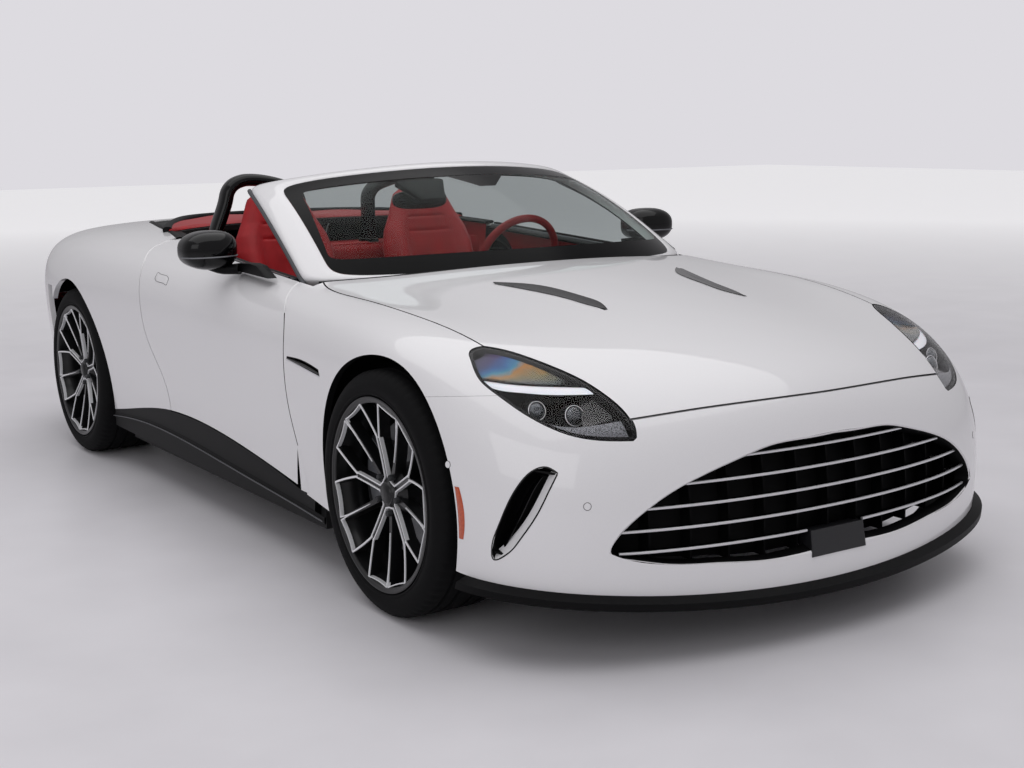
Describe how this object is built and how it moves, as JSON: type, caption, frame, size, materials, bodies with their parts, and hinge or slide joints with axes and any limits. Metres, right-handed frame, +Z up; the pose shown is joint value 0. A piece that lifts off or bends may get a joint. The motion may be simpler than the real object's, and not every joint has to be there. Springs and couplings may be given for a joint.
{
  "type": "roadster convertible",
  "caption": "Low two-seat open car with a long bonnet, wide curved grille, red leather cabin, folded soft roof and dark spoked wheels.",
  "frame": {"origin": "on the ground under the middle of the car, at the bottom centre of its bounding box", "axes": "+Y towards the tail, +X towards the car's left side, +Z up"},
  "size_m": [2.116, 4.4949, 1.2495],
  "materials": {
    "body_paint": "gloss",
    "silver_trim": "satin",
    "black_plastic": "satin",
    "clear_glass": "gloss",
    "red_leather": "satin",
    "red_lens": "gloss",
    "body_steel": "matte",
    "tyre_rubber": "matte",
    "wheel_paint": "satin",
    "cast_metal": "matte",
    "gloss_black": "gloss",
    "roof_fabric": "matte",
    "bright_steel": "satin"
  },
  "bodies": {
    "chassis": {"wing_R": "body_paint", "wing_L": "body_paint", "front_bumper": "body_paint", "rear_body": "body_paint", "rear_bumper": "body_paint", "windscreen_frame": "body_paint", "grille_vanes": "silver_trim", "cowl": "black_plastic", "grille_fins": "black_plastic", "headlamp_R": "black_plastic", "headlamp_L": "black_plastic", "diffuser": "black_plastic", "side_skirt_R": "black_plastic", "side_skirt_L": "black_plastic", "splitter": "black_plastic", "headlamp_lens_R": "clear_glass", "headlamp_lens_L": "clear_glass", "windscreen": "clear_glass", "seat_R": "red_leather", "seat_L": "red_leather", "dashboard": "red_leather", "rear_trim": "red_leather", "console": "red_leather", "tail_lights": "red_lens", "underbody": "body_steel", "front_axle": "cast_metal", "rear_axle": "cast_metal", "engine": "cast_metal", "roll_hoops": "gloss_black", "folded_roof": "roof_fabric", "exhaust_tips": "bright_steel"},
    "door_right": {"door_R": "body_paint", "door_trim_R": "red_leather", "mirror_R": "gloss_black"},
    "door_left": {"door_L": "body_paint", "door_trim_L": "red_leather", "mirror_L": "gloss_black"},
    "bonnet_lid": {"bonnet": "body_paint"},
    "boot": {"boot_lid": "body_paint"},
    "steering": {"steering_wheel": "gloss_black"},
    "knuckle_right": {"knuckle_R": "cast_metal"},
    "knuckle_left": {"knuckle_L": "cast_metal"},
    "wheel_front_right": {"wheel_FR": "wheel_paint", "tyre_FR": "tyre_rubber"},
    "wheel_front_left": {"wheel_FL": "wheel_paint", "tyre_FL": "tyre_rubber"},
    "wheel_rear_right": {"wheel_RR": "wheel_paint", "tyre_RR": "tyre_rubber"},
    "wheel_rear_left": {"wheel_RL": "wheel_paint", "tyre_RL": "tyre_rubber"}
  },
  "joints": [
    {"name": "door_right_open", "type": "hinge", "parent": "chassis", "child": "door_right", "pos_m": [-0.955, -0.79, 0.5], "axis": [0, 0, 1], "range_deg": [0, 62]},
    {"name": "door_left_open", "type": "hinge", "parent": "chassis", "child": "door_left", "pos_m": [0.955, -0.79, 0.5], "axis": [0, 0, -1], "range_deg": [0, 62]},
    {"name": "bonnet_open", "type": "hinge", "parent": "chassis", "child": "bonnet_lid", "pos_m": [0, -2.15, 0.668], "axis": [1, 0, 0], "range_deg": [0, 55]},
    {"name": "boot_open", "type": "hinge", "parent": "chassis", "child": "boot", "pos_m": [0, 1.545, 0.985], "axis": [1, 0, 0], "range_deg": [0, 65]},
    {"name": "steer_left", "type": "hinge", "parent": "chassis", "child": "knuckle_left", "pos_m": [0.735, -1.3755, 0.355], "axis": [0, 0, 1], "range_deg": [-30, 30]},
    {"name": "steer_right", "type": "hinge", "parent": "chassis", "child": "knuckle_right", "pos_m": [-0.735, -1.3755, 0.355], "axis": [0, 0, 1], "range_deg": [-30, 30]},
    {"name": "steering_turn", "type": "hinge", "parent": "chassis", "child": "steering", "pos_m": [0.36, -0.115, 0.862], "axis": [0, 0.9135, 0.4067], "range_deg": [-393, 393]},
    {"name": "front_left_spin", "type": "hinge", "parent": "knuckle_left", "child": "wheel_front_left", "pos_m": [0.838, -1.3755, 0.355], "axis": [1, 0, 0], "continuous": true},
    {"name": "front_right_spin", "type": "hinge", "parent": "knuckle_right", "child": "wheel_front_right", "pos_m": [-0.838, -1.3755, 0.355], "axis": [1, 0, 0], "continuous": true},
    {"name": "rear_left_spin", "type": "hinge", "parent": "chassis", "child": "wheel_rear_left", "pos_m": [0.838, 1.3295, 0.355], "axis": [1, 0, 0], "continuous": true},
    {"name": "rear_right_spin", "type": "hinge", "parent": "chassis", "child": "wheel_rear_right", "pos_m": [-0.838, 1.3295, 0.355], "axis": [1, 0, 0], "continuous": true}
  ],
  "couplings": [
    {"joint": "steer_right", "follows": "steer_left", "ratio": 1},
    {"joint": "steering_turn", "follows": "steer_left", "ratio": 13.09}
  ]
}
